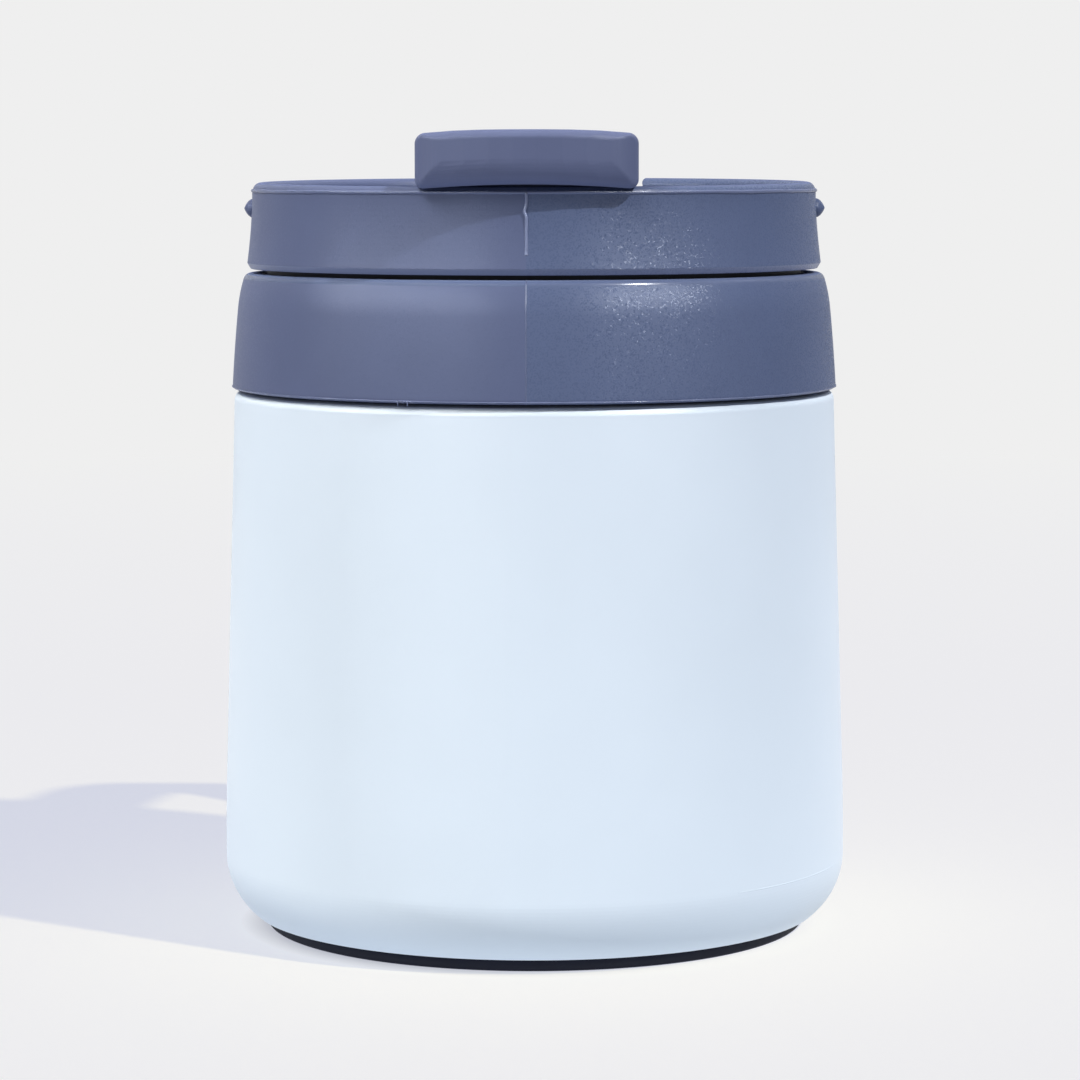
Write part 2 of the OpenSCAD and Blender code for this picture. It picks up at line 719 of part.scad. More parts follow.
// Opening in the rear rim that takes the tab, with eased upper corners
module notch_section() {
    ease = 0.8;
    top = crest_z + rim_r * tan(rim_tilt);
    translate([-notch_w / 2, notch_floor]) square([notch_w, 2 * tab_rise]);
    for (s = [-1, 1]) {
        translate([s * (notch_w / 2 + ease / 2), top - ease / 2]) difference() {
            square([ease, ease * 2], center = true);
            translate([s * ease / 2, -ease / 2]) circle(ease);
        }
    }
}

// Threaded skirt, flange over the gasket, inner cup and sip duct
module lid_insert() {
    r_in = plug_cup_r - plug_cup_t;
    floor_z = plug_cup_z + plug_cup_t;
    h = insert_top_z - plug_cup_z;
    duct_w = sip_w + 2 * duct_gap;
    duct_d = sip_d + 2 * duct_gap;
    bevel = 0.4;
    color(slate) difference() {
        union() {
            rotate_extrude() polygon([
                [skirt_in_r, skirt_z + bevel],
                [skirt_in_r + bevel, skirt_z],
                [skirt_r - bevel, skirt_z],
                [skirt_r, skirt_z + bevel],
                [skirt_r, insert_top_z],
                [r_in, insert_top_z],
                [r_in, floor_z],
                [0, floor_z],
                [0, plug_cup_z],
                [plug_cup_r - 1, plug_cup_z],
                [plug_cup_r, plug_cup_z + 1],
                [plug_cup_r, flange_z],
                [skirt_in_r, flange_z]
            ]);
            translate([0, -sip_y, plug_cup_z]) linear_extrude(h) intersection() {
                slot(duct_w + 2 * duct_t, duct_d + 2 * duct_t);
                translate([0, sip_y]) circle(plug_cup_r - plug_cup_t / 3);
            }
            translate([0, -vent_y, plug_cup_z]) cylinder(d = vent_d + 2 * duct_t, h = h);
        }
        translate([0, -sip_y, plug_cup_z - 1]) linear_extrude(h + 2) slot(duct_w, duct_d);
        translate([0, -vent_y, plug_cup_z - 1]) cylinder(d = vent_d + duct_gap, h = h + 2);
    }
}

// Steel pin through the three knuckles
module hinge_pin() {
    len = tab_w - 1.8;
    bevel = pin_d / 12;
    color(steel) translate([-len / 2, 0, hinge_z]) rotate([0, 90, 0]) rotate_extrude() polygon([
        [0, 0],
        [pin_d / 2 - bevel, 0],
        [pin_d / 2, bevel],
        [pin_d / 2, len - bevel],
        [pin_d / 2 - bevel, len],
        [0, len]
    ]);
}

// Ring of points round the flap at distance y from the axis, drawn in by share e of the face's rounding
function flap_ring(y, e, bow) = let (in = e * tab_soft, top = tab_top_z - e * tab_lip) [
    for (p = rounded_points(tab_w / 2 - in, top, tab_low_z + in, max(0.3, tab_corner - in), 8, 6))
        let (f = abs(2 * p[0] / tab_w))
        let (lift = p[2] > 0 ? -tab_crown * pow(f, 3) : tab_arch * (1 - pow(f, 2)))
        [p[0], -y + bow * (tab_front_r - sqrt(pow(tab_front_r, 2) - pow(p[0], 2))), p[1] + lift]
];

// Outer form of the flap: a crowned bar that ends in a bowed, soft-edged front face
module flap_form() {
    run = tab_front_r - tab_edge + flap_rear_y;
    rear = [for (i = [0 : 4]) flap_ring(run * i / 5 - flap_rear_y, 0, i / 5)];
    front = [
        for (a = [0 : 10 : 90])
            flap_ring(tab_front_r - tab_edge * (1 - sin(a)), 1 - cos(a), 1)
    ];
    loft(reversed(concat(rear, front)));
}

// Room that the flap leaves for the rim, the ring and the stoppers
module flap_cavity() {
    low = tab_low_z - 2 * tab_rise;
    back = tab_solid - tab_back_r;
    rotate_extrude() polygon([[0, low], [tab_back_r, low], [tab_back_r, flap_under_z], [0, flap_under_z]]);
    translate([-cavity_w / 2, back, low])
        cube([cavity_w, flap_rear_y - 0.75 * flap_t - back, cavity_top_z - low]);
}

// Curved lap behind the tab that sits inside the rim
module flap_lap() {
    r = wall_in_r - lap_gap;
    w = cavity_w + flap_t;
    intersection() {
        rotate_extrude() translate([r - lap_t, flap_under_z - lap_h]) square([lap_t, lap_h + 1]);
        translate([-w / 2, -r, flap_under_z - 2 * lap_h]) cube([w, r / 2, 4 * lap_h]);
    }
}

// One outer knuckle of the hinge with its arm, s = 1 or -1
module flap_knuckle(s) {
    x0 = post_w / 2 + knuckle_gap;
    w = tab_w / 2 - 0.3 - x0;
    back = flap_rear_y - 1.2;
    low = 0.65 * post_r;
    translate([s * (x0 + w / 2), 0, hinge_z]) {
        rotate([0, 90, 0]) cylinder(r = post_r, h = w, center = true);
        translate([-w / 2, back, -low]) cube([w, -back, post_r + low]);
    }
}

// Boss under the flap that holds a stopper's stem at distance y from the axis
module stem_boss(y, d) {
    low = stopper_top_z + fixed_gap;
    translate([0, -y, low]) cylinder(d = d, h = cavity_top_z + flap_t / 4 - low);
}

// Blind bore for a stopper's stem
module stem_bore(y, d) {
    translate([0, -y, stopper_top_z - 1]) cylinder(d = d + 2 * fixed_gap, h = 1 + stem_h + 3 * fixed_gap);
}

// Hinged flap with the wide thumb tab, hollow below
module flip_cover() {
    color(slate) difference() {
        union() {
            difference() {
                flap_form();
                flap_cavity();
            }
            flap_lap();
            flap_knuckle(1);
            flap_knuckle(-1);
            stem_boss(sip_y, stem_d + 2 * stopper_lap);
            stem_boss(vent_y, vent_stem_d + 2 * stopper_lap);
        }
        translate([0, 0, hinge_z]) rotate([0, 90, 0])
            cylinder(d = pin_d + 2 * pin_gap, h = tab_w + 2, center = true);
        stem_bore(sip_y, stem_d);
        stem_bore(vent_y, vent_stem_d);
    }
}

// Silicone stopper with a flange on the deck and a stem in the flap
module spout_plug() {
    low = deck_z - stopper_dip;
    color(silicone) translate([0, -sip_y, 0]) {
        translate([0, 0, low]) linear_extrude(seat_z + stopper_t / 2 - low)
            slot(sip_w - 2 * stopper_gap, sip_d - 2 * stopper_gap);
        translate([0, 0, seat_z]) linear_extrude(stopper_t)
            slot(sip_w + 2 * stopper_lap, sip_d + 2 * stopper_lap);
        translate([0, 0, seat_z]) cylinder(d = stem_d + 2 * stopper_lap - 0.4, h = stopper_h);
        translate([0, 0, seat_z]) cylinder(d = stem_d, h = stopper_h + stem_h);
    }
}

// Small silicone stopper over the vent
module vent_plug() {
    lap_r = vent_d / 2 + 0.7 * stopper_lap;
    tip_r = vent_d / 4;
    stem_r = vent_stem_d / 2;
    color(silicone) translate([0, -vent_y, 0]) rotate_extrude() polygon([
        [0, deck_z - stopper_dip / 2],
        [0.4 * tip_r, deck_z - stopper_dip / 2],
        [tip_r, seat_z],
        [lap_r, seat_z],
        [lap_r, stopper_top_z],
        [stem_r, stopper_top_z],
        [stem_r, stopper_top_z + stem_h],
        [0, stopper_top_z + stem_h]
    ]);
}

outer_shell();
inner_liner();
base_disc();
seal_bead();
getter_tablet();
base_pad();
handle_collar();
lid_gasket();
lid_cap();
lid_insert();
hinge_pin();
flip_cover();
spout_plug();
vent_plug();
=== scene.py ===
import math

import bmesh
import bpy
from mathutils import Matrix, Vector, noise


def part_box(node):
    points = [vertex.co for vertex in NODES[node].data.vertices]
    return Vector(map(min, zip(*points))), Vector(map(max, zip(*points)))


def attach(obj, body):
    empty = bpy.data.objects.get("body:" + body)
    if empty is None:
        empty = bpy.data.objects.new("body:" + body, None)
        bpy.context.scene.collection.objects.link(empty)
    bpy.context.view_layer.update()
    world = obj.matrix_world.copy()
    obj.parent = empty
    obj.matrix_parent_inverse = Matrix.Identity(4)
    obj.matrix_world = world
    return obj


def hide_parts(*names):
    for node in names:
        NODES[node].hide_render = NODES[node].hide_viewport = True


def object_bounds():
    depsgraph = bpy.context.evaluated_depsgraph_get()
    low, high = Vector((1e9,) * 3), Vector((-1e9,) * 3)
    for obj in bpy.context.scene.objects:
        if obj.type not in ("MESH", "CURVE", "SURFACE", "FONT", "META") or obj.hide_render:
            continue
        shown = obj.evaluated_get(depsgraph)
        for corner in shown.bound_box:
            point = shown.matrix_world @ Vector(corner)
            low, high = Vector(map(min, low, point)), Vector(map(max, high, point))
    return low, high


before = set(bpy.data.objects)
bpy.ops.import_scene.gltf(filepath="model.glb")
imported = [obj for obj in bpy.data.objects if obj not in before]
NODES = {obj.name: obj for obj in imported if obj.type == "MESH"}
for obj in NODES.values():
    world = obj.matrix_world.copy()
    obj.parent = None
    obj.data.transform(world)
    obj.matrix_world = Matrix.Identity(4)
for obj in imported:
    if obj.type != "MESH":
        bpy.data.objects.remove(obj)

CAD_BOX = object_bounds()
MM = 0.001

# Sizes in millimetres and degrees, those of the part's source unless they belong to a detail made here


def sin_d(degrees):
    return math.sin(math.radians(degrees))


def cos_d(degrees):
    return math.cos(math.radians(degrees))


def tan_d(degrees):
    return math.tan(math.radians(degrees))


# Body
WALL_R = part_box("outer_shell")[1][0] / MM
PAD_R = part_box("base_pad")[1][0] / MM
BODY_TAPER = 3.5
TOP_R = WALL_R - BODY_TAPER / 2
BODY_TOP_Z = 76.3
HEM_Z = 2.0
CORNER_R = 10.8
CORNER_A = 51.06
CORNER_Z = HEM_Z + CORNER_R * sin_d(CORNER_A)
BLEND_R = 400.0
BLEND_A = math.degrees(math.atan((WALL_R - TOP_R) / (BODY_TOP_Z - CORNER_Z)))
BLEND_END = (WALL_R - BLEND_R * (1 - cos_d(BLEND_A)), CORNER_Z + BLEND_R * sin_d(BLEND_A))
SHOULDER_A = 50.0
EDGE_R = 1.3
EDGE_END = (TOP_R - EDGE_R * (1 - cos_d(SHOULDER_A)), BODY_TOP_Z + EDGE_R * sin_d(SHOULDER_A))
NECK_STEP = 6.9
NECK_R = TOP_R - NECK_STEP
NECK_TURN_R = 2.5
NECK_TURN_START = NECK_R + NECK_TURN_R * (1 - cos_d(SHOULDER_A))
NECK_TURN_Z = (EDGE_END[1] + (EDGE_END[0] - NECK_TURN_START) / tan_d(SHOULDER_A)
               + NECK_TURN_R * sin_d(SHOULDER_A))
# Height above which the paint gives way to dark bare steel: bare on the neck, and painted shade on the shoulder
# strip in the crevice under the collar
PAINT_TOP_Z = EDGE_END[1] + 0.08
SEAM_Z = 10.2
SEAM_ARC = (-50.0, -14.0)
SEAM_W = 0.16
SEAM_H = 0.03

# Collar and handle
COLLAR_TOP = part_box("handle_collar")[1][2] / MM
COLLAR_H = 16.55
COLLAR_Z = COLLAR_TOP - COLLAR_H
COLLAR_STEP = 0.28
BOW_R = 260.0
BOW_DROP = 14.0
FALL = 0.55
FALL_H = 5.0
COLLAR_EDGE = 1.1
COLLAR_EASE = 0.4
COLLAR_FLOOR = 1.54
COLLAR_GAP = 0.2
COLLAR_RIM_EASE = 0.3
COLLAR_STEPS = 48
THREAD_GAP = 0.7
SKIRT_T = 1.4
CHANNEL_GAP = 0.6
CHANNEL_R = NECK_R + THREAD_GAP + SKIRT_T + CHANNEL_GAP
CHANNEL_Z = NECK_TURN_Z + COLLAR_FLOOR
STRAP_W = 20.0
STRAP_LOW_W = 16.5
STRAP_T = 6.6
STRAP_EDGE = 2.7
ARM_A = 13.0
ARM_LEN = 20.0
ARM_DROP = 5.7
ARM_SINK = 6.0
BEND_RADII = (27.0, 17.0, 13.0)
BEND_1_A = 45.0
GRIP_A = 15.0
FOOT_A = 13.0
BEND_ANGLES = (BEND_1_A, 90 + GRIP_A - ARM_A - BEND_1_A, 90 - GRIP_A - FOOT_A)
GRIP_LEN = 22.0
FOOT_LEN = 10.0
ROOT_R = 4.5
ROOT_SINK = 0.8
ROOT_LEN = 1.4 * ROOT_R
FOOT_GAP = 0.35
SEAT_TURN_LIFT = 0.45
STRAP_TOP_GAP = 0.3
STRAP_INSIDE = CHANNEL_R + 2.0
STRAP_NEAR_FOOT = 0.94
ROOT_STEPS = 24

# Share of the strap's narrowing that is reached at the end of the root and of the arm, and that each later part adds
ROOT_SHARE = 0.16
ARM_SHARE = 0.24
BEND_SHARES = (0.195, 0.195, 0.225)
GRIP_SHARE = 0.08
FOOT_SHARE = 0.03

# Mould marks of the collar and handle: width and height of the lines, angle and drop of each burr
FLASH_SUNK = 0.03
COLLAR_FLASH = (0.22, 0.05)
STRAP_FLASH_W = 0.24
STRAP_FLASH = 0.04
LIP_R = 0.1
BURRS = ((-113.6, 0.75), (-112.6, 0.45), (-111.7, 0.85), (-110.9, 0.4))

# Lid
RING_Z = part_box("lid_cap")[0][2] / MM
RING_H = 11.15
RIDGE_Z = RING_Z + RING_H
RING_TOP_R = 40.55
RING_TAPER = 1.5
NOTCH_W = 31.4
SKIRT_IN_R = NECK_R + THREAD_GAP
RING_FLASH = (0.46, 0.32)
RING_FLASH_LEN = RING_H - 2.8
RING_FLASH_FULL = 3.2
RING_FLASH_FADE = 4.8
RING_FLASH_LEAST = 0.06
RING_JOG = -0.24
RING_JOG_DEPTH = 2.6
RING_JOG_W = 0.5
RIDGE_BEAD_R = 0.24
RIDGE_BEAD_IN = 0.05
RIDGE_BEAD_DROP = 0.06
NOTCH_CLEAR = 0.4

# Thread
LEAD = 12.0
STARTS = 3
THREAD_H = 0.5
THREAD_SUNK = 0.12
THREAD_FOOT = 0.85
THREAD_CREST = 0.32
NECK_THREAD_Z = 89.0
SKIRT_THREAD_Z = 88.6


# Node trees

class Tree:
    """Short calls for building one material's nodes."""

    def __init__(self, name):
        self.mat = bpy.data.materials.new(name)
        self.mat.use_nodes = True
        self.t = self.mat.node_tree
        self.t.nodes.clear()
        out = self.t.nodes.new("ShaderNodeOutputMaterial")
        self.bsdf = self.t.nodes.new("ShaderNodeBsdfPrincipled")
        self.t.links.new(self.bsdf.outputs[0], out.inputs[0])
        place = self.t.nodes.new("ShaderNodeTexCoord")
        self.co, self.facing = place.outputs["Object"], place.outputs["Normal"]

    def put(self, socket, value):
        if isinstance(value, bpy.types.NodeSocket):
            self.t.links.new(value, socket)
        else:
            socket.default_value = value

    def set(self, **values):
        for name, value in values.items():
            self.put(self.bsdf.inputs[name.replace("_", " ")], value)

    def noise(self, scale, detail=2.0, rough=0.5, vec=None):
        n = self.t.nodes.new("ShaderNodeTexNoise")
        self.put(n.inputs["Vector"], vec or self.co)
        n.inputs["Scale"].default_value = scale
        n.inputs["Detail"].default_value = detail
        n.inputs["Roughness"].default_value = rough
        return n.outputs["Fac"]

    def stretch(self, x, y, z):
        n = self.t.nodes.new("ShaderNodeVectorMath")
        n.operation = "MULTIPLY"
        self.put(n.inputs[0], self.co)
        n.inputs[1].default_value = (x, y, z)
        return n.outputs[0]

    def axis(self, name):
        return self.axis_of(self.co, name)

    def axis_of(self, vector, name):
        n = self.t.nodes.new("ShaderNodeSeparateXYZ")
        self.put(n.inputs[0], vector)
        return n.outputs[name]

    def math(self, op, a, b=0.0, clamp=False):
        n = self.t.nodes.new("ShaderNodeMath")
        n.operation = op
        n.use_clamp = clamp
        self.put(n.inputs[0], a)
        self.put(n.inputs[1], b)
        return n.outputs[0]

    def span(self, value, lo, hi, to_lo=0.0, to_hi=1.0):
        n = self.t.nodes.new("ShaderNodeMapRange")
        n.clamp = True
        self.put(n.inputs[0], value)
        for i, v in enumerate((lo, hi, to_lo, to_hi)):
            self.put(n.inputs[i + 1], v)
        return n.outputs[0]

    def mix(self, fac, a, b, blend="MIX"):
        n = self.t.nodes.new("ShaderNodeMix")
        n.data_type = "RGBA"
        n.blend_type = blend
        self.put(n.inputs[0], fac)
        self.put(n.inputs[6], a)
        self.put(n.inputs[7], b)
        return n.outputs[2]

    def bump(self, height, strength, distance, below=None):
        n = self.t.nodes.new("ShaderNodeBump")
        self.put(n.inputs["Strength"], strength)
        n.inputs["Distance"].default_value = distance
        self.put(n.inputs["Height"], height)
        if below is not None:
            self.put(n.inputs["Normal"], below)
        return n.outputs[0]

    def flakes(self, scale, tilt, share, normal):
        """Normal with a random tilt in a share of fine cells, and the mask of those cells."""
        n = self.t.nodes.new("ShaderNodeTexVoronoi")
        self.put(n.inputs["Vector"], self.co)
        n.inputs["Scale"].default_value = scale
        off = self.t.nodes.new("ShaderNodeVectorMath")
        off.operation = "SUBTRACT"
        self.t.links.new(n.outputs["Color"], off.inputs[0])
        off.inputs[1].default_value = (0.5, 0.5, 0.5)
        picked = self.math("LESS_THAN", self.axis_of(n.outputs["Color"], "X"), share)
        mask = self.math("MULTIPLY", picked, tilt)
        lean = self.t.nodes.new("ShaderNodeVectorMath")
        lean.operation = "SCALE"
        self.t.links.new(off.outputs[0], lean.inputs[0])
        self.t.links.new(mask, lean.inputs["Scale"])
        total = self.t.nodes.new("ShaderNodeVectorMath")
        self.t.links.new(normal, total.inputs[0])
        self.t.links.new(lean.outputs[0], total.inputs[1])
        unit = self.t.nodes.new("ShaderNodeVectorMath")
        unit.operation = "NORMALIZE"
        self.t.links.new(total.outputs[0], unit.inputs[0])
        return unit.outputs[0], mask

    def soft_edges(self, radius):
        """Normal with its edges rounded by radius, and how far it turns from the face's own."""
        n = self.t.nodes.new("ShaderNodeBevel")
        n.samples = 4
        n.inputs["Radius"].default_value = radius
        face = self.t.nodes.new("ShaderNodeNewGeometry").outputs["Normal"]
        dot = self.t.nodes.new("ShaderNodeVectorMath")
        dot.operation = "DOT_PRODUCT"
        self.t.links.new(n.outputs[0], dot.inputs[0])
        self.t.links.new(face, dot.inputs[1])
        return n.outputs[0], self.span(dot.outputs["Value"], 0.995, 0.85)


def rgb(r, g, b, k=1.0):
    return (r * k, g * k, b * k, 1.0)


def srgb(r, g, b):
    def lin(v):
        v /= 255.0
        return v / 12.92 if v <= 0.04045 else ((v + 0.055) / 1.055) ** 2.4
    return (lin(r), lin(g), lin(b))


PAINT = srgb(216, 228, 241)
SLATE = srgb(83, 95, 127)
SLATE_GREY = srgb(86, 95, 127)
SLATE_TAB = srgb(89, 97, 129)
SLATE_EDGE = srgb(92, 102, 136)
SLATE_PALE = srgb(120, 130, 164)
SLATE_WORN = srgb(150, 160, 190)
# Dark colour of the lid insert and its thread, chosen so the gap between ring and collar shows black: painted shade
# in that gap
DARK_INSERT_GAP_SHADE = srgb(30, 34, 48)
# Navy of the foot pad's silicone, made darker than its own colour so the pad also paints the contact shade under the
# body
NAVY_AND_CONTACT_SHADE = srgb(24, 27, 42)
SILICONE = srgb(114, 124, 148)
# Dark bare steel, on the neck and as painted shade in the crevice under the collar
BARE_STEEL_AND_SHADE = (0.30, 0.31, 0.33)
BACKDROP = srgb(239, 239, 239)
FLAKE_SCALE = 5400
FLAKE_SHARE = 0.35


def paint_material():
    """Satin paint on steel, which stops under the collar and turns to dark bare steel: bare on the neck, and painted
    shade on the shoulder strip in the crevice under the collar.
    """
    m = Tree("paint")
    # Above the paint's top the surface turns dark and metallic: bare steel on the neck, painted shade on the strip
    # under the collar
    bare_and_shade = m.span(m.axis("Z"), PAINT_TOP_Z * MM, (PAINT_TOP_Z + 0.1) * MM)
    color = m.mix(m.span(m.noise(38, 3), 0.3, 0.7), rgb(*PAINT, 0.985), rgb(*PAINT, 1.012))
    lines = m.noise(1.0, 4, 0.6, m.stretch(90, 90, 7000))
    steel = m.mix(m.span(lines, 0.3, 0.7), rgb(*BARE_STEEL_AND_SHADE, 0.9), rgb(*BARE_STEEL_AND_SHADE, 1.1))
    peel = m.bump(m.noise(900, 2), 0.06, 0.00004)
    m.set(Base_Color=m.mix(bare_and_shade, color, steel), Metallic=bare_and_shade,
          Roughness=m.span(m.noise(160, 3), 0.3, 0.7, 0.36, 0.42),
          Normal=m.bump(m.noise(5200, 2), 0.05, 0.00002, peel))
    return m.mat


def plastic_material(name, color, rough, halves, specular=0.17):
    """Moulded plastic, matt on its flat tops, and painted lighter where it faces down: painted light on faces the
    lamps leave too dark.

    With halves, the mould's right half has a bluer, sparkling grain, and the painted lighter part is only the ring's
    lower chamfer.
    """
    m = Tree(name)
    top = m.span(m.math("ABSOLUTE", m.axis_of(m.facing, "Z")), 0.8, 0.95)
    normal, edge = m.soft_edges(0.00025)
    tone = m.mix(m.span(m.noise(70, 3), 0.3, 0.7), rgb(0.96, 0.96, 0.96), rgb(1.04, 1.04, 1.04))
    tint, surface, gloss = rgb(*color), m.bump(m.noise(3000, 2, 0.6), 0.12, 0.00005, normal), rough
    if halves:
        right = m.math("SUBTRACT", m.span(m.axis("X"), -0.00005, 0.00005), top, True)
        tint = m.mix(right, rgb(*SLATE_GREY), rgb(*color))
        tilt = m.math("ADD", m.math("MULTIPLY", right, 0.13), 0.05)
        surface, mask = m.flakes(FLAKE_SCALE, tilt, FLAKE_SHARE, surface)
        gloss = m.math("SUBTRACT", rough, m.math("MULTIPLY", mask, 0.8))
        # The ring's lower chamfer faces down and is painted paler: painted light where the lamps leave it too dark
        below = m.span(m.axis_of(m.facing, "Z"), -0.3, -0.5)
        chamfer = m.math("MULTIPLY", below, m.span(m.axis("Z"), (RING_Z + 1.6) * MM, (RING_Z + 1.2) * MM))
        chamfer = m.math("MULTIPLY", chamfer, m.span(m.axis("Z"), (RING_Z - 0.4) * MM, (RING_Z - 0.2) * MM))
        tint = m.mix(chamfer, tint, rgb(*SLATE_PALE))
    else:
        # Faces turned down are painted lighter: painted light where the lamps leave them too dark
        tint = m.mix(m.span(m.axis_of(m.facing, "Z"), -0.1, -0.5), tint, rgb(*color, 1.25))
    base = m.mix(1.0, tint, tone, "MULTIPLY")
    sheen = m.span(m.noise(240, 3), 0.3, 0.7, -0.02, 0.02)
    m.set(Base_Color=m.mix(m.math("MULTIPLY", edge, 0.2), base, rgb(*SLATE_WORN)),
          Roughness=m.math("ADD", m.span(top, 0, 1, gloss, 0.8), sheen),
          Normal=surface)
    m.bsdf.inputs["Specular IOR Level"].default_value = specular
    return m.mat


def steel_material(name):
    m = Tree(name)
    lines = m.noise(1.0, 4, 0.6, m.stretch(120, 120, 9000))
    base = m.mix(m.span(lines, 0.3, 0.7), rgb(0.56, 0.56, 0.57), rgb(0.68, 0.68, 0.69))
    m.set(Base_Color=base, Roughness=m.span(lines, 0.3, 0.7, 0.24, 0.36),
          Normal=m.bump(lines, 0.12, 0.00002))
    m.bsdf.inputs["Metallic"].default_value = 1.0
    return m.mat


def silicone_material(name, color, rough):
    m = Tree(name)
    normal, edge = m.soft_edges(0.0003)
    base = m.mix(m.span(m.noise(150, 3), 0.3, 0.7), rgb(*color, 0.93), rgb(*color, 1.06))
    m.set(Base_Color=m.mix(m.math("MULTIPLY", edge, 0.2), base, rgb(*color, 1.6)),
          Roughness=m.span(m.noise(600, 2), 0.3, 0.7, rough - 0.05, rough + 0.05),
          Normal=m.bump(m.noise(2400, 2), 0.12, 0.00003, normal))
    m.bsdf.inputs["Specular IOR Level"].default_value = 0.15
    return m.mat


MATS = {
    "paint": paint_material(),
    "moulded": plastic_material("moulded_plastic", SLATE, 0.36, True),
    "plastic": plastic_material("plastic", SLATE_TAB, 0.38, False),
    "polished": plastic_material("polished_plastic", SLATE, 0.2, False, 0.4),
    "edge": plastic_material("plastic_edge", SLATE_EDGE, 0.2, False, 0.4),
    "flash": plastic_material("plastic_flash", SLATE_PALE, 0.2, False, 0.4),
    "dark": plastic_material("insert_plastic", DARK_INSERT_GAP_SHADE, 0.4, False),
    "steel": steel_material("steel"),
    "foot": silicone_material("foot_silicone", NAVY_AND_CONTACT_SHADE, 0.6),
    "seal": silicone_material("seal_silicone", SILICONE, 0.5),
}


def dress(node, mat):
    o = NODES[node]
    o.data.materials.clear()
    o.data.materials.append(MATS[mat])


for node, mat in {
    "outer_shell": "paint", "inner_liner": "steel", "base_disc": "steel", "seal_bead": "steel",
    "getter_tablet": "steel", "base_pad": "foot", "handle_collar": "moulded", "lid_gasket": "seal",
    "lid_cap": "moulded", "lid_insert": "dark", "hinge_pin": "steel", "flip_cover": "plastic",
    "spout_plug": "seal", "vent_plug": "seal",
}.items():
    dress(node, mat)


# Meshes

def piece(name, shells, mat, body, angle=35.0, second=None, is_second=None):
    """One object from closed shells, each (points in mm, faces). is_second picks faces of the second material."""
    me = bpy.data.meshes.new(name)
    bm = bmesh.new()
    for points, faces in shells:
        verts = [bm.verts.new(Vector(p) * MM) for p in points]
        for f in faces:
            face = bm.faces.new([verts[i] for i in f])
            if second and is_second([points[i] for i in f]):
                face.material_index = 1
    bmesh.ops.recalc_face_normals(bm, faces=bm.faces)
    bm.to_mesh(me)
    bm.free()
    me.shade_smooth()
    me.set_sharp_from_angle(angle=math.radians(angle))
    me.materials.append(MATS[mat])
    if second:
        me.materials.append(MATS[second])
    o = bpy.data.objects.new(name, me)
    bpy.context.scene.collection.objects.link(o)
    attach(o, body)
    return o


def skin(rings, closed=False):
    """Shell over rings with the same count of points, capped at both ends unless closed."""
    n, k = len(rings[0]), len(rings)
    points = [p for ring in rings for p in ring]
    faces = []
    for j in range(k if closed else k - 1):
        a, b = j * n, (j + 1) % k * n
        faces += [(a + i, a + (i + 1) % n, b + (i + 1) % n, b + i) for i in range(n)]
    if not closed:
        faces += [tuple(range(n)), tuple(range((k - 1) * n, k * n))]
    return points, faces


def turned(section, n=256):
    """Shell of a closed section of (r, z) turned round the axis."""
    rings = []
    for i in range(n):
        a = 2 * math.pi * i / n
        rings.append([(r * math.cos(a), r * math.sin(a), z) for r, z in section])
    return skin(rings, closed=True)


def arc(c, r, a0, a1, n):
    angles = [math.radians(a0 + (a1 - a0) * i / n) for i in range(n + 1)]
    return [(c[0] + r * math.cos(a), c[1] + r * math.sin(a)) for a in angles]


def ridge(stations, width, height):
    """Raised round line along stations of (point, outward normal, side direction, share of the height)."""
    rings = []
    for p, n, s, f in stations:
        p, n, s = Vector(p), Vector(n), Vector(s)
        ring = [p - s * width / 2 - n * FLASH_SUNK]
        for k in range(7):
            a = math.pi * (1 - k / 6)
            ring.append(p + s * width / 2 * math.cos(a) + n * height * f * math.sin(a))
        ring.append(p + s * width / 2 - n * FLASH_SUNK)
        rings.append(ring)
    return skin(rings)


# Collar and handle

def collar_r(z):
    """Radius of the collar's bowed side at height z."""
    up = z - (COLLAR_Z - BOW_DROP)
    fall = max(0.0, 1 - (COLLAR_TOP - z) / FALL_H)
    bow = math.sqrt(BOW_R ** 2 - up ** 2) - math.sqrt(BOW_R ** 2 - BOW_DROP ** 2)
    return TOP_R + COLLAR_STEP + bow - FALL * fall ** 2


def collar_lean(z, d=0.1):
    return math.degrees(math.atan((collar_r(z - d) - collar_r(z + d)) / (2 * d)))


def collar_side(steps):
    """Outer line of the collar, from its lower edge to the end of its upper rounding."""
    lean = collar_lean(COLLAR_TOP - COLLAR_EDGE)
    top = COLLAR_TOP - COLLAR_EDGE * (1 - sin_d(lean))
    low = COLLAR_Z + COLLAR_EASE
    r_low = collar_r(low)
    c = (collar_r(top) - COLLAR_EDGE * cos_d(lean), COLLAR_TOP - COLLAR_EDGE)
    side = [(collar_r(z), z) for z in (low + (top - low) * i / steps for i in range(1, steps))]
    return (arc((r_low - COLLAR_EASE, low), COLLAR_EASE, -90, 0, 5) + side
            + arc(c, COLLAR_EDGE, lean, 90, 12))


def collar_section():
    """Closed section of the collar: outer line, channel for the lid's skirt, and seat on the shoulder."""
    t = tan_d(SHOULDER_A)
    low_x = EDGE_END[0] - (COLLAR_Z - EDGE_END[1]) * t + COLLAR_GAP / cos_d(SHOULDER_A)
    inner = NECK_R + COLLAR_GAP
    turn_c = (inner + NECK_TURN_R, COLLAR_Z + (low_x - inner) / t + NECK_TURN_R * SEAT_TURN_LIFT)
    ease = COLLAR_RIM_EASE
    return (collar_side(COLLAR_STEPS)
            + arc((CHANNEL_R + ease, COLLAR_TOP - ease), ease, 90, 180, 4)
            + [(CHANNEL_R, CHANNEL_Z), (inner, CHANNEL_Z)]
            + arc(turn_c, NECK_TURN_R, 180, 180 + SHOULDER_A, 6)
            + [(low_x, COLLAR_Z)])


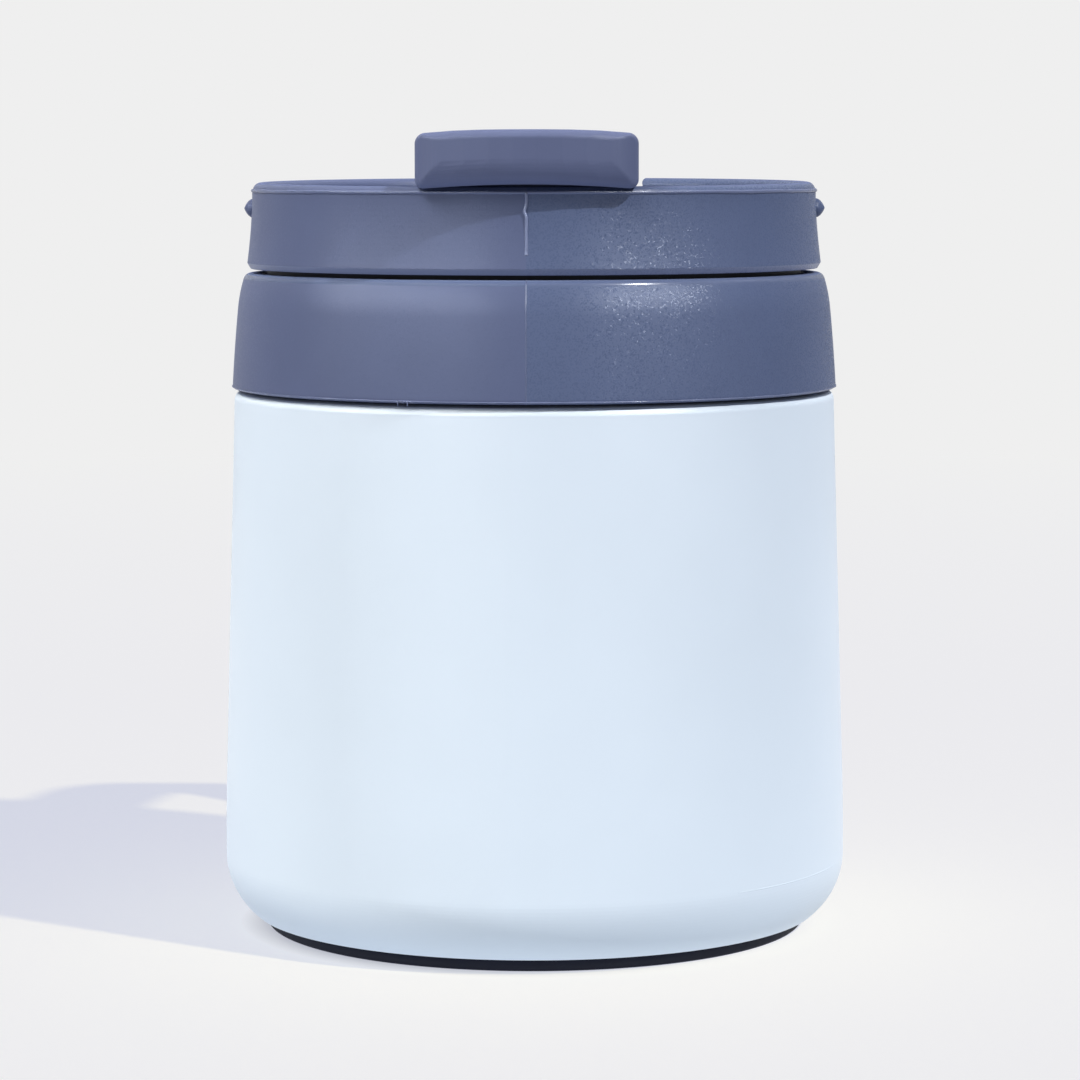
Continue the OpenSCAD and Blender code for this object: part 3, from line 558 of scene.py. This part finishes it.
def heading(a):
    """Direction in (y, z) that falls by a degrees below the level."""
    return Vector((cos_d(a), -sin_d(a)))


def upward(a):
    """Direction square to heading(a), on its upper side."""
    return Vector((sin_d(a), cos_d(a)))


def handle_line():
    """Stations of the handle's middle line: (y, z), fall of the heading in degrees, and share."""
    arm_z = COLLAR_TOP - ARM_DROP
    root_x = collar_r(arm_z)
    root_end = root_x - ROOT_SINK + ROOT_LEN
    start = Vector((TOP_R - ARM_SINK, arm_z + ARM_SINK * tan_d(ARM_A)))
    line = []

    def on_arm(y):
        return Vector((y, start.x * tan_d(ARM_A) + start.y - y * tan_d(ARM_A)))

    def turn(at, a, f, r, by, share, n):
        c = at - r * upward(a)
        for k in range(1, n + 1):
            line.append((c + r * upward(a + by * k / n), a + by * k / n, f + share * k / n))
        return line[-1][0], a + by, f + share

    def run(at, a, f, length, share, n):
        for k in range(1, n + 1):
            line.append((at + heading(a) * length * k / n, a, f + share * k / n))
        return line[-1][0], a, f + share

    for k in range(ROOT_STEPS + 1):
        y = root_end - ROOT_LEN * cos_d(90 * k / ROOT_STEPS)
        line.append((on_arm(y), ARM_A, ROOT_SHARE * k / ROOT_STEPS))
    at = start + ARM_LEN * heading(ARM_A)
    end_y = at.x
    arm_steps = 8
    for k in range(1, arm_steps + 1):
        y = root_end + (end_y - root_end) * k / arm_steps
        line.append((on_arm(y), ARM_A, ROOT_SHARE + (ARM_SHARE - ROOT_SHARE) * k / arm_steps))

    at, a, f = turn(at, ARM_A, ARM_SHARE, BEND_RADII[0], BEND_ANGLES[0], BEND_SHARES[0], 40)
    at, a, f = turn(at, a, f, BEND_RADII[1], BEND_ANGLES[1], BEND_SHARES[1], 40)
    at, a, f = run(at, a, f, GRIP_LEN, GRIP_SHARE, 8)
    at, a, f = turn(at, a, f, BEND_RADII[2], BEND_ANGLES[2], BEND_SHARES[2], 44)
    run(at, a, f, FOOT_LEN, FOOT_SHARE, 8)
    return line, root_x, root_end, end_y


def rounded_ring(half, up, low, r, corner=8, along=10, across=3):
    """Points (x, v) round a rectangle with rounded corners."""
    ring = []
    for (sx, sv, a0, gap) in ((1, 1, 0, along), (-1, 1, 90, across), (-1, -1, 180, along), (1, -1, 270, across)):
        c = (sx * (half - r), (up - r) if sv > 0 else (low + r))
        ring += arc(c, r, a0, a0 + 90, corner)
        dx = -sx * 2 * (half - r) if gap == along else 0.0
        dv = -sv * (up - low - 2 * r) if gap == across else 0.0
        last = ring[-1]
        ring += [(last[0] + dx * k / gap, last[1] + dv * k / gap) for k in range(1, gap)]
    return ring


def wall_r(z):
    """Radius of the painted wall at height z, above the foot's corner."""
    lo, hi = (WALL_R, CORNER_Z), BLEND_END
    if z > BLEND_END[1]:
        lo, hi = BLEND_END, (TOP_R, BODY_TOP_Z)
    return lo[0] + (hi[0] - lo[0]) * (z - lo[1]) / (hi[1] - lo[1])


def strap_foot(ring, a):
    """The ring moved along its heading until each point stands clear of the wall by the foot's gap."""
    d = heading(a)
    foot = []
    for x, y, z in ring:
        near, far = 0.0, 30.0
        for _ in range(40):
            t = (near + far) / 2
            if math.hypot(x, y + t * d.x) > wall_r(z + t * d.y) + FOOT_GAP:
                near = t
            else:
                far = t
        foot.append((x, y + near * d.x, z + near * d.y))
    return foot


def strap_rings():
    """Rings of the strap, from inside the collar, through the flared root and the bends, to the foot at the wall."""
    line, root_x, root_end, end_y = handle_line()
    top = COLLAR_TOP - COLLAR_EDGE - STRAP_TOP_GAP
    rings = []
    for at, a, f in line:
        flare, bow_share = 0.0, 0.0
        if f <= ARM_SHARE:
            v = min(1.0, max(0.0, (root_end - at.x) / ROOT_LEN))
            flare = ROOT_R * (1 - math.sqrt(1 - v * v))
            bow_share = max(0.0, 1 - max(0.0, (at.x - root_x) / (end_y - root_x))) ** 1.5
        half = (STRAP_W + (STRAP_LOW_W - STRAP_W) * f) / 2 + flare
        up = min(STRAP_T / 2 + flare, max(STRAP_T / 2, top - at.y))
        ring = []
        for x, w in rounded_ring(half, up, -STRAP_T / 2 - flare, STRAP_EDGE):
            bow = bow_share * (root_x - math.sqrt(root_x ** 2 - x * x))
            ring.append((x, at.x + w * sin_d(a) - bow, at.y + w * cos_d(a)))
        rings.append(ring)
    rings.insert(0, [(x, math.sqrt(STRAP_INSIDE ** 2 - x * x), z) for x, y, z in rings[0]])
    foot = strap_foot(rings[-1], line[-1][1])
    rings.append([tuple(p + (q - p) * STRAP_NEAR_FOOT for p, q in zip(u, w)) for u, w in zip(rings[-1], foot)])
    rings.append(foot)
    return rings


def wander(t, seed, scale=1.0):
    """Smooth unevenness along t, the same each run."""
    return noise.noise(Vector((t * scale, seed, 0.37)))


def collar_flash():
    """Parting lines of the mould, down the collar's front and along both faces of the strap."""
    side = collar_side(COLLAR_STEPS)
    front = []
    for i, (r, z) in enumerate(side):
        q = side[min(i + 1, len(side) - 1)]
        p = side[max(i - 1, 0)]
        t = Vector((0, -(q[0] - p[0]), q[1] - p[1])).normalized()
        n = Vector((0, -t.z, t.y))
        f = 0.75 + 0.5 * wander(z, 3.1, 0.9)
        front.append(((0.05 * wander(z, 8.3, 0.5), -r, z), n, (1, 0, 0), f))
    shells = [ridge(front, *COLLAR_FLASH)]
    past_root = handle_line()[0][ROOT_STEPS + 2:]
    for s in (1, -1):
        path = []
        for k, (at, a, f) in enumerate(past_root):
            n = Vector((0, sin_d(a), cos_d(a))) * s
            p = Vector((0, at.x, at.y)) + n * STRAP_T / 2
            p.y = min(p.y, CAD_BOX[1][1] / MM - STRAP_FLASH * 1.3)
            path.append((p, n, (1, 0, 0), 0.7 + 0.6 * wander(k, 5.0 + s, 0.2)))
        shells.append(ridge(path, STRAP_FLASH_W, STRAP_FLASH))
    return shells


def on_collar_edge(corners):
    """Whether a face lies on the collar's upper rounding."""
    low = COLLAR_TOP - COLLAR_EDGE
    return all(z > low and math.hypot(x, y) > CHANNEL_R + 1 and y < TOP_R - 8 for x, y, z in corners)


def collar_foot_flash():
    """Thin uneven lip at the collar's lower edge, with a few burrs left of the middle."""
    n = 360
    foot_r, foot_z = collar_r(COLLAR_Z), COLLAR_Z + COLLAR_EASE
    lip_c = (foot_r - 0.02, foot_z - 0.12)
    rings = []
    for i in range(n):
        deg = 360.0 * i / n
        a = math.radians(deg)
        r_lip = LIP_R * (1 + 0.5 * wander(deg, 7.7, 0.21))
        ring = []
        for r, z in arc(lip_c, r_lip, 0, 360, 8)[:-1]:
            ring.append((r * math.cos(a), r * math.sin(a), z))
        rings.append(ring)
    shells = [skin(rings, closed=True)]
    for deg, drop in BURRS:
        a = math.radians(deg)
        out = Vector((math.cos(a), math.sin(a), 0))
        along = Vector((-math.sin(a), math.cos(a), 0))
        top = out * (foot_r - 0.1) + Vector((0, 0, foot_z))
        tip = out * (foot_r + 0.12) + Vector((0, 0, foot_z - drop)) + along * 0.12
        burr = []
        for f, w in ((0.0, 0.16), (0.5, 0.12), (1.0, 0.04)):
            c = top.lerp(tip, f)
            burr.append([c + along * w * math.cos(t) + out * w * math.sin(t)
                         for t in (math.radians(60 * k) for k in range(6))])
        shells.append(skin(burr))
    piece("collar_foot_flash", shells, "edge", "mug", 80.0)


def make_collar():
    o = piece("collar_and_handle", [turned(collar_section()), skin(strap_rings())], "moulded", "mug",
              second="polished", is_second=on_collar_edge)
    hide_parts("handle_collar")
    piece("collar_parting_line", collar_flash(), "edge", "mug", 80.0)


# Lid details

def ring_r(z):
    """Radius of the ring's flared side at height z."""
    return RING_TOP_R + RING_TAPER / 2 * max(0.0, (RIDGE_Z - 1 - z) / (RING_H - 2)) ** 1.6


def make_ring_flash():
    """Parting line down the front of the ring, with the jog where the mould's slides meet."""
    path = []
    steps = 60
    for i in range(steps + 1):
        z = RIDGE_Z - 0.1 - RING_FLASH_LEN * i / steps
        d = RIDGE_Z - z
        jog = RING_JOG * math.exp(-((d - RING_JOG_DEPTH) / RING_JOG_W) ** 2)
        strong = 1.0
        if d >= RING_FLASH_FULL:
            strong = max(RING_FLASH_LEAST, 1 - (d - RING_FLASH_FULL) / RING_FLASH_FADE)
        n = Vector((0, -1, (ring_r(z - 0.1) - ring_r(z + 0.1)) / 0.2)).normalized()
        path.append(((jog + 0.03 * wander(z, 1.7, 2.0), -ring_r(z), z), n, (1, 0, 0),
                     strong * (0.95 + 0.16 * wander(z, 6.1, 0.7))))
    piece("ring_parting_line", [ridge(path, *RING_FLASH)], "flash", "lid", 80.0)


def make_ridge():
    """Uneven bead of flash round the ring's ridge, open at the notch."""
    half = math.degrees(math.asin((NOTCH_W / 2 + NOTCH_CLEAR) / RING_TOP_R))
    n = 540
    rings = []
    for i in range(n + 1):
        deg = 90 + half + (360 - 2 * half) * i / n
        a = math.radians(deg)
        w = wander(deg, 2.2, 0.35) * 0.6 + wander(deg, 4.4, 1.3) * 0.4
        r_bead = RIDGE_BEAD_R * (1 + 0.3 * w)
        z = RIDGE_Z - RIDGE_BEAD_DROP + RIDGE_BEAD_DROP * wander(deg, 9.1, 0.12)
        ring = []
        for r, h in arc((RING_TOP_R - RIDGE_BEAD_IN, z), r_bead, 0, 360, 12)[:-1]:
            ring.append((r * math.cos(a), r * math.sin(a), h))
        rings.append(ring)
    piece("ridge_flash", [skin(rings)], "edge", "lid", 80.0)


def make_thread(name, wall, crest, z0, start, sweep, mat, body):
    """Three-start right-hand thread on a wall, each start one tapered helix."""
    shells = []
    steps = 48
    for k in range(STARTS):
        rings = []
        for i in range(steps + 1):
            deg = start + 360.0 * k / STARTS + sweep * i / steps
            a = math.radians(deg)
            z = z0 + LEAD * sweep * i / steps / 360
            fade = min(1.0, min(i, steps - i) / 7 + 0.02)
            sink = THREAD_SUNK if crest > wall else -THREAD_SUNK
            foot_r, crest_r = wall - sink, wall + (crest - wall) * fade
            rows = ((foot_r, -THREAD_FOOT), (crest_r, -THREAD_CREST), (crest_r, THREAD_CREST), (foot_r, THREAD_FOOT))
            rings.append([(r * math.cos(a), r * math.sin(a), z + h) for r, h in rows])
        shells.append(skin(rings))
    piece(name, shells, mat, body)


def make_seam():
    """Faint uneven seam at the right of the body's foot."""
    r = WALL_R - CORNER_R + math.sqrt(CORNER_R ** 2 - (SEAM_Z - CORNER_Z) ** 2)
    steps = 90
    path = []
    for i in range(steps + 1):
        a = math.radians(SEAM_ARC[0] + (SEAM_ARC[1] - SEAM_ARC[0]) * i / steps)
        out = Vector((math.cos(a), math.sin(a), 0))
        fade = min(1.0, min(i, steps - i) / 20 + 0.02)
        share = fade * (0.7 + 0.6 * wander(i, 2.9, 0.17))
        path.append((out * r + Vector((0, 0, SEAM_Z)), out, (0, 0, 1), share))
    piece("body_seam", [ridge(path, SEAM_W, SEAM_H)], "paint", "mug", 80.0)


make_collar()
collar_foot_flash()
make_ring_flash()
make_ridge()
make_seam()
make_thread("neck_thread", NECK_R, NECK_R + THREAD_H, z0=NECK_THREAD_Z, start=20.0, sweep=105.0,
            mat="steel", body="mug")
make_thread("skirt_thread", SKIRT_IN_R, SKIRT_IN_R - THREAD_H, z0=SKIRT_THREAD_Z, start=62.0, sweep=70.0,
            mat="dark", body="lid")


# Stage, light and camera

# The floor's colour under its own lamp and its glow, as the camera and mirrors see them. What diffuse rays meet
# instead is a plain bounce and a glow that lights the object from below, stronger near its foot.
FLOOR_LIT = (0.39, 0.34, 0.165)
FLOOR_GLOW = (0.636, 0.660, 0.775)
FLOOR_BOUNCE = (0.25, 0.25, 0.25)
FLOOR_UP_NEAR = (0.84, 0.90, 0.97)
FLOOR_UP_FAR = (0.54, 0.58, 0.66)
FLOOR_HALF = 30.0
FLOOR_FADE = (0.25, 0.9)
FLOOR_UP_FADE = (0.05, 0.14)
FLOOR_UP_SIDE = (-0.06, 0.06, 0.0, 0.28)
CONTACT_W = 4.0
CONTACT_SHADE = 0.28
CONTACT_SIDE = (-0.02, 0.03, 1.0, 0.0)
BLACK = rgb(0, 0, 0)
LIGHT_FAR = 1.4
LIGHT_AIM = 0.06
WORLD_LIGHT = 0.04

# The camera, fitted to the photograph's silhouettes; pixels are those of its frame
IMAGE_PX = 1080.0
FOCAL_PX = 3850.0
HORIZON_PX = 163.4
AXIS_LEFT_PX = 5.6
SENSOR = 36.0
CAMERA_FAR = 0.5576
CAMERA_Z = 0.1101
CAMERA_AZIMUTH = 1.45
CAMERA_ROLL = -0.0012


def add_floor():
    """Pale paper with a light shadow, and a soft painted shade at the left of the foot pad."""
    me = bpy.data.meshes.new("floor")
    a = FLOOR_HALF
    me.from_pydata([(-a, -a, 0), (a, -a, 0), (a, a, 0), (-a, a, 0)], [], [(0, 1, 2, 3)])
    o = bpy.data.objects.new("floor", me)
    bpy.context.scene.collection.objects.link(o)
    m = Tree("floor")
    path = m.t.nodes.new("ShaderNodeLightPath")
    seen = m.math("ADD", path.outputs["Is Camera Ray"], path.outputs["Is Glossy Ray"])
    seen = m.math("ADD", seen, path.outputs["Is Transmission Ray"], True)
    length = m.t.nodes.new("ShaderNodeVectorMath")
    length.operation = "LENGTH"
    m.put(length.inputs[0], m.co)
    reach = length.outputs["Value"]
    far = m.span(reach, *FLOOR_FADE)
    paper = m.mix(m.noise(900, 3), rgb(*FLOOR_LIT, 0.985), rgb(*FLOOR_LIT, 1.015))
    contact = m.span(reach, PAD_R * MM, (PAD_R + CONTACT_W) * MM, CONTACT_SHADE, 0.0)
    contact = m.math("MULTIPLY", contact, m.span(m.axis("X"), *CONTACT_SIDE))
    color = m.mix(contact, m.mix(far, paper, BLACK), BLACK)
    glow = m.mix(contact, m.mix(far, rgb(*FLOOR_GLOW), rgb(*BACKDROP)), BLACK)
    up = m.mix(m.span(reach, *FLOOR_UP_FADE), rgb(*FLOOR_UP_NEAR), rgb(*FLOOR_UP_FAR))
    up = m.mix(m.span(m.axis("X"), *FLOOR_UP_SIDE), up, BLACK)
    m.set(Base_Color=m.mix(seen, rgb(*FLOOR_BOUNCE), color), Emission_Color=m.mix(seen, up, glow))
    m.bsdf.inputs["Emission Strength"].default_value = 1.0
    m.bsdf.inputs["Roughness"].default_value = 0.9
    m.bsdf.inputs["Specular IOR Level"].default_value = 0.0
    me.materials.append(m.mat)
    return o


def add_flag():
    """Dark studio card behind the object, which only its reflections show."""
    r, h, n = 0.7, 0.6, 24
    me = bpy.data.meshes.new("flag")
    points = []
    for i in range(n + 1):
        a = math.pi * i / n
        points += [(r * math.cos(a), r * math.sin(a), 0.002), (r * math.cos(a), r * math.sin(a), h)]
    me.from_pydata(points, [], [(2 * i, 2 * i + 1, 2 * i + 3, 2 * i + 2) for i in range(n)])
    o = bpy.data.objects.new("flag", me)
    bpy.context.scene.collection.objects.link(o)
    m = Tree("flag_cloth")
    m.set(Base_Color=m.mix(m.noise(400, 2), rgb(0.30, 0.30, 0.31), rgb(0.34, 0.34, 0.35)))
    me.materials.append(m.mat)
    o.visible_camera = False
    o.visible_diffuse = False
    o.visible_transmission = False
    o.visible_shadow = False


def aim(o, at):
    o.rotation_mode = "QUATERNION"
    o.rotation_quaternion = (Vector(at) - o.location).to_track_quat("-Z", "Y")


def direction(azimuth, elevation):
    a, e = math.radians(azimuth), math.radians(elevation)
    return Vector((math.sin(a) * math.cos(e), -math.cos(a) * math.cos(e), math.sin(e)))


def link_light(lamp, o, state):
    """Let the lamp light only o (INCLUDE), or all but o (EXCLUDE)."""
    lit = bpy.data.collections.new(lamp.name + "_lit")
    lit.objects.link(o)
    lit.collection_objects[0].light_linking.link_state = state
    lamp.light_linking.receiver_collection = lit


def add_light(name, kind, azimuth, elevation, energy, color, diffuse=True, glossy=True, **settings):
    """Lamp aimed at the object, unseen by the camera."""
    data = bpy.data.lights.new(name, kind)
    data.energy = energy
    data.color = color
    for k, v in settings.items():
        setattr(data, k, v)
    o = bpy.data.objects.new(name, data)
    bpy.context.scene.collection.objects.link(o)
    o.location = direction(azimuth, elevation) * LIGHT_FAR + Vector((0, 0, LIGHT_AIM))
    aim(o, (0, 0, LIGHT_AIM))
    o.visible_camera = False
    o.visible_diffuse = diffuse
    o.visible_glossy = glossy
    return o


def add_world():
    """Faint even light, and a plain pale backdrop for camera and mirror rays."""
    w = bpy.data.worlds.new("studio")
    w.use_nodes = True
    t = w.node_tree
    t.nodes.clear()
    out = t.nodes.new("ShaderNodeOutputWorld")
    light = t.nodes.new("ShaderNodeBackground")
    light.inputs[0].default_value = (1.0, 1.0, 1.0, 1)
    light.inputs[1].default_value = WORLD_LIGHT
    shown = t.nodes.new("ShaderNodeBackground")
    shown.inputs[0].default_value = (*BACKDROP, 1)
    shown.inputs[1].default_value = 1.0
    path = t.nodes.new("ShaderNodeLightPath")
    mirror = t.nodes.new("ShaderNodeMath")
    mirror.operation = "ADD"
    t.links.new(path.outputs["Is Glossy Ray"], mirror.inputs[0])
    t.links.new(path.outputs["Is Transmission Ray"], mirror.inputs[1])
    seen = t.nodes.new("ShaderNodeMath")
    seen.operation = "ADD"
    seen.use_clamp = True
    t.links.new(path.outputs["Is Camera Ray"], seen.inputs[0])
    t.links.new(mirror.outputs[0], seen.inputs[1])
    mix = t.nodes.new("ShaderNodeMixShader")
    t.links.new(seen.outputs[0], mix.inputs[0])
    t.links.new(light.outputs[0], mix.inputs[1])
    t.links.new(shown.outputs[0], mix.inputs[2])
    t.links.new(mix.outputs[0], out.inputs[0])
    bpy.context.scene.world = w


def add_camera():
    """Camera at the photograph's place, turned until the mug's axis and the horizon fall where they do there."""
    data = bpy.data.cameras.new("camera")
    data.sensor_width = SENSOR
    data.lens = FOCAL_PX / IMAGE_PX * SENSOR
    data.clip_start = 0.01
    data.clip_end = 100.0
    o = bpy.data.objects.new("camera", data)
    bpy.context.scene.collection.objects.link(o)
    azimuth = math.radians(CAMERA_AZIMUTH)
    o.location = (CAMERA_FAR * math.sin(azimuth), -CAMERA_FAR * math.cos(azimuth), CAMERA_Z)
    yaw = azimuth - math.atan(AXIS_LEFT_PX / FOCAL_PX)
    pitch = math.atan((IMAGE_PX / 2 - HORIZON_PX) / FOCAL_PX)
    turn = Matrix.Rotation(yaw, 4, "Z") @ Matrix.Rotation(math.pi / 2 - pitch, 4, "X")
    o.rotation_mode = "QUATERNION"
    o.rotation_quaternion = (turn @ Matrix.Rotation(CAMERA_ROLL, 4, "Z")).to_quaternion()
    bpy.context.scene.camera = o


def add_lights(floor):
    """Sun-like key, a large soft light at the left, two behind, and two panels that only show as gloss."""
    white, warm, cool = (1.0, 1.0, 1.0), (1.0, 0.97, 0.90), (0.90, 0.95, 1.0)
    key = add_light("key", "SUN", 57.0, 52.0, energy=2.73, color=white, angle=math.radians(1.0))
    low_key = add_light("floor_key", "SUN", 57.0, 42.5, energy=2.13, color=white, angle=math.radians(2.0))
    left = add_light("soft_left", "AREA", -56.0, 55.0, energy=25.0, color=warm, glossy=False,
                     shape="RECTANGLE", size=1.2, size_y=0.5)
    back = [add_light("back_left", "AREA", -138.0, 28.0, energy=5.6, color=white, glossy=False,
                      shape="RECTANGLE", size=0.9, size_y=0.7),
            add_light("back_right", "AREA", 138.0, 28.0, energy=9.4, color=white, glossy=False,
                      shape="RECTANGLE", size=0.9, size_y=0.7)]
    add_light("gloss_left", "AREA", -53.0, 22.0, energy=26.0, color=cool, diffuse=False,
              shape="RECTANGLE", size=1.9, size_y=0.36)
    add_light("gloss_right", "AREA", 45.0, 24.0, energy=20.5, color=cool, diffuse=False,
              shape="RECTANGLE", size=1.0, size_y=0.24)
    link_light(low_key, floor, "INCLUDE")
    for lamp in (key, left, *back):
        link_light(lamp, floor, "EXCLUDE")


stage_floor = add_floor()
add_flag()
add_lights(stage_floor)
add_world()
add_camera()
bpy.context.scene.view_settings.view_transform = "Standard"
